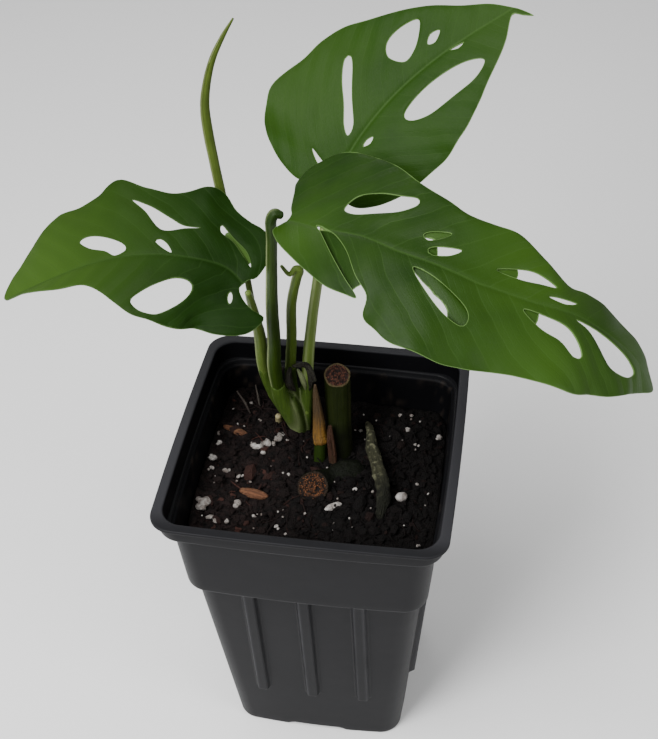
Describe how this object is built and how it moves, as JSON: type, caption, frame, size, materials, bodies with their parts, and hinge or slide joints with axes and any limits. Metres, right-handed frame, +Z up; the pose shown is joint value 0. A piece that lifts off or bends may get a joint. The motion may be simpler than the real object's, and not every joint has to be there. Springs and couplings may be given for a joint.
{
  "type": "potted monstera adansonii",
  "caption": "Young swiss cheese vine with fenestrated waved leaves, a rolled new leaf and a cut old vine, planted in a square flanged nursery pot.",
  "frame": {"origin": "under the middle of the pot, on the surface it stands on", "axes": "+Z up the pot and the plant, -Y out of the pot's front, +X to the plant's right"},
  "size_m": [0.2321, 0.1386, 0.2787],
  "materials": {
    "pot_plastic": "satin black polypropylene",
    "potting_mix": "damp fibrous potting mix",
    "petiole_green": "smooth living stalk",
    "new_leaf_olive": "smooth rolled leaf",
    "leaf_green": "waxy leaf",
    "leaf_mid_green": "waxy leaf",
    "sheath_ochre": "drying sheath",
    "sheath_brown": "papery dry sheath",
    "sheath_dark": "withered sheath",
    "old_stem_green": "old smooth stem",
    "old_vine_brown": "fibrous cut stem",
    "root_grey": "rough aerial root",
    "root_cream": "fresh root",
    "perlite": "chalky foamed grain",
    "bark": "rough bark chip"
  },
  "bodies": {
    "root": {"pot": "pot_plastic", "potting_mix": "potting_mix", "crown_stem": "petiole_green", "petiole_left": "petiole_green", "petiole_right": "petiole_green", "petiole_old": "petiole_green", "petiole_back": "petiole_green", "new_leaf": "new_leaf_olive", "leaf_left": "leaf_green", "leaf_right": "leaf_green", "leaf_back": "leaf_mid_green", "young_stem": "petiole_green", "yellow_sheath": "sheath_ochre", "papery_sheath": "sheath_brown", "dark_hood": "sheath_dark", "cut_stem": "old_stem_green", "old_vine": "old_vine_brown", "old_root": "root_grey", "root_tip": "root_cream", "perlite_left": "perlite", "perlite_middle": "perlite", "perlite_back": "perlite", "perlite_right": "perlite", "perlite_front": "perlite", "bark_chip_left": "bark", "bark_chip_front": "bark"}
  },
  "joints": []
}
